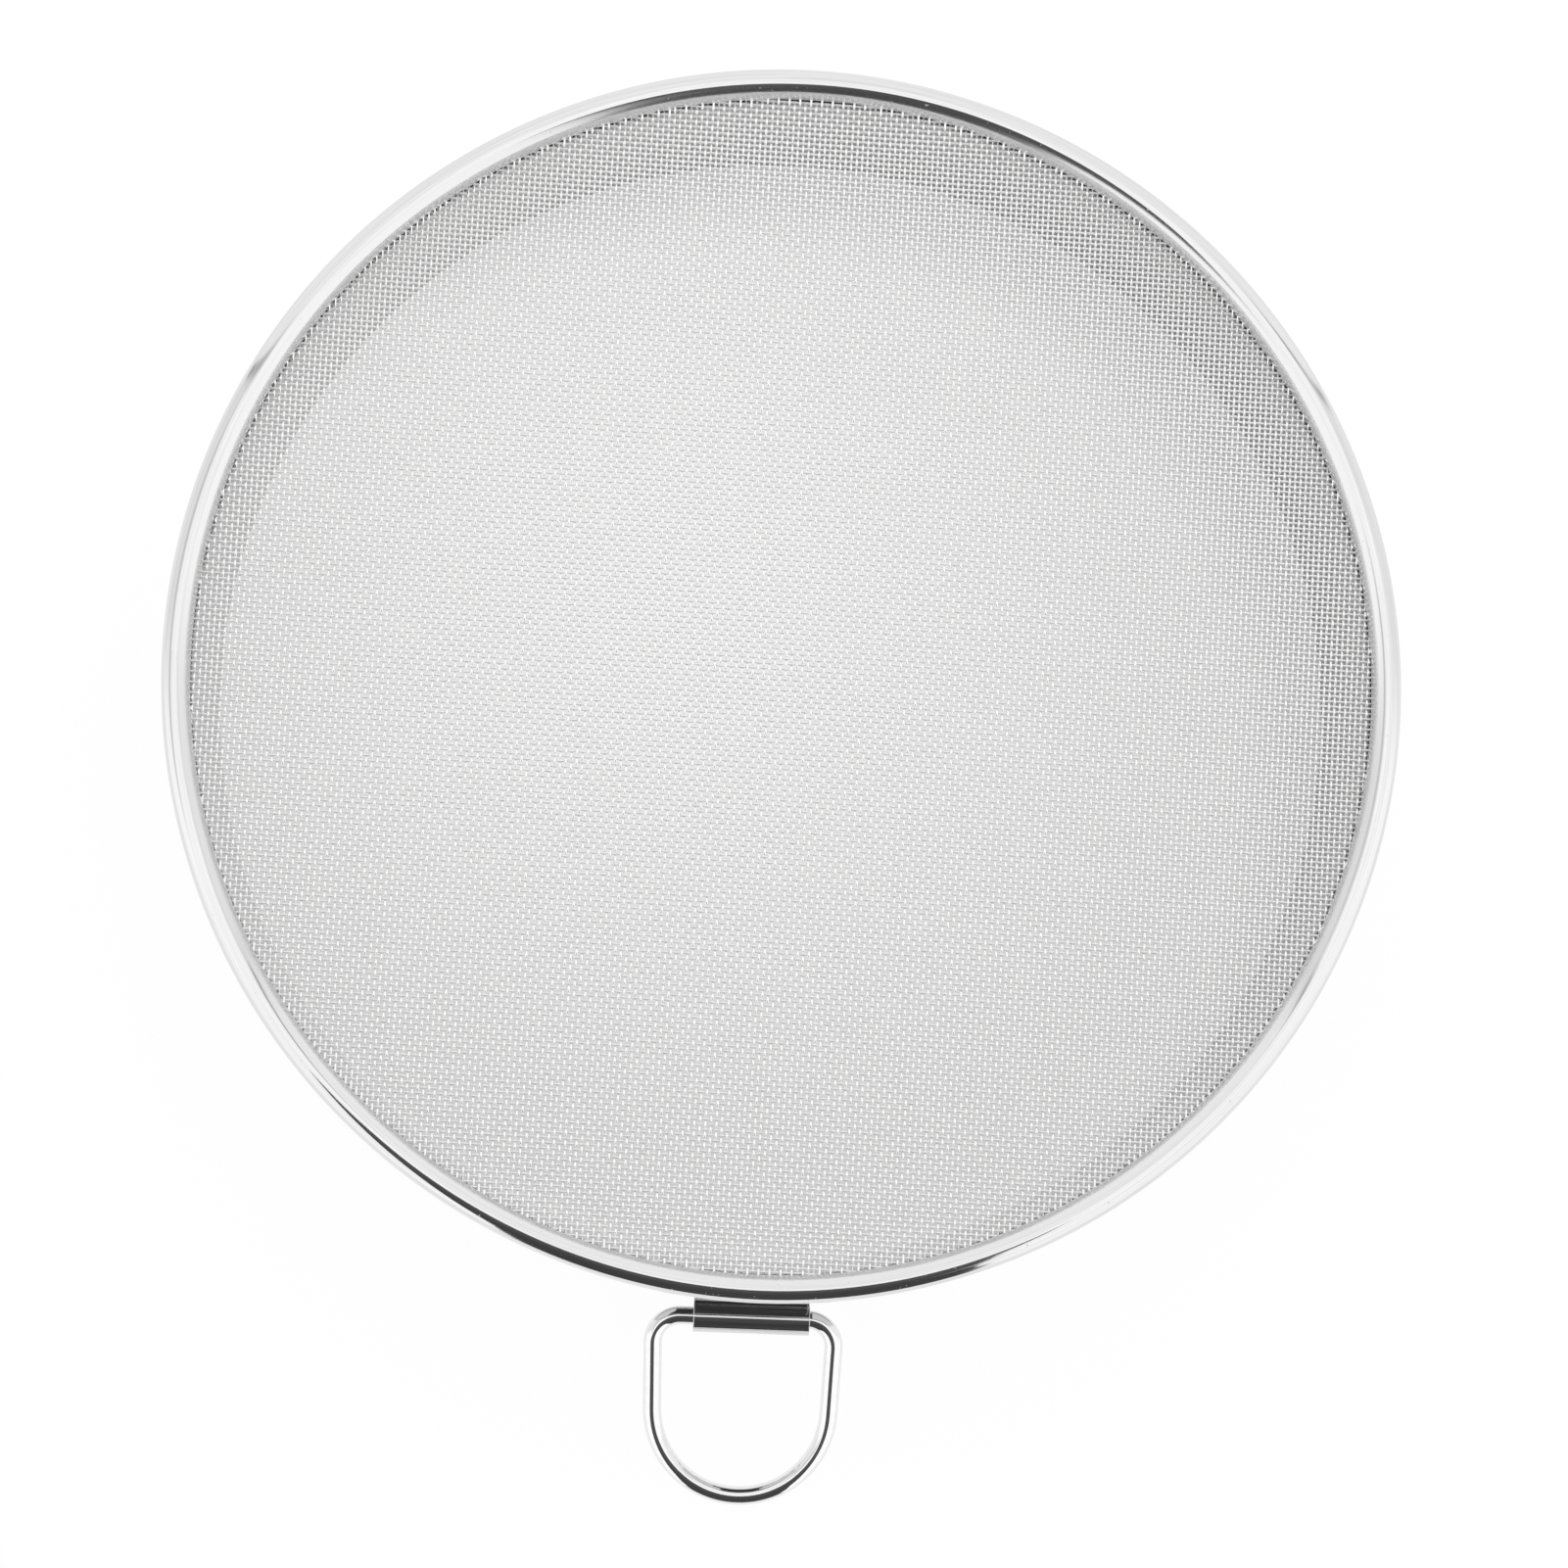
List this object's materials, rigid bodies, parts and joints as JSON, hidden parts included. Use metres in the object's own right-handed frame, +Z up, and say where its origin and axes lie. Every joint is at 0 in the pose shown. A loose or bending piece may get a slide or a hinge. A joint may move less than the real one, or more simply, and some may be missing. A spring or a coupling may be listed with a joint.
{
  "type": "flour sieve",
  "caption": "Round drum flour sieve: sheet-steel hoop open at one end, fine woven wire mesh gripped under a rolled rim bead at the other, and a swinging D-shaped hanging ring.",
  "frame": {"origin": "on the surface the sieve stands on, under the middle of its whole bounding box, hanging ring included", "axes": "+Z up along the hoop's axis, from the open edge to the mesh; the hanging ring points towards -Y; +X along the ring's bar"},
  "size_m": [0.203, 0.2402, 0.0486],
  "materials": {
    "hoop_steel": "bare stainless sheet, satin with fine lengthwise grain",
    "mesh_steel": "bare drawn stainless wire, plain weave",
    "bead_steel": "polished stainless sheet with hairline scratches",
    "wire_steel": "bare drawn steel wire, enclosed",
    "clip_steel": "brushed stainless strap",
    "ring_steel": "polished drawn stainless wire"
  },
  "bodies": {
    "sieve": {"hoop": "hoop_steel", "mesh_weft_wires": "mesh_steel", "mesh_warp_wires": "mesh_steel", "rim_bead": "bead_steel", "rim_wire": "wire_steel", "ring_clip": "clip_steel"},
    "ring": {"hang_ring": "ring_steel"}
  },
  "joints": [
    {"name": "ring_swing", "type": "hinge", "parent": "sieve", "child": "ring", "pos_m": [0, -0.08778, 0.0051], "axis": [-1, 0, 0], "range_deg": [0, 108]}
  ]
}
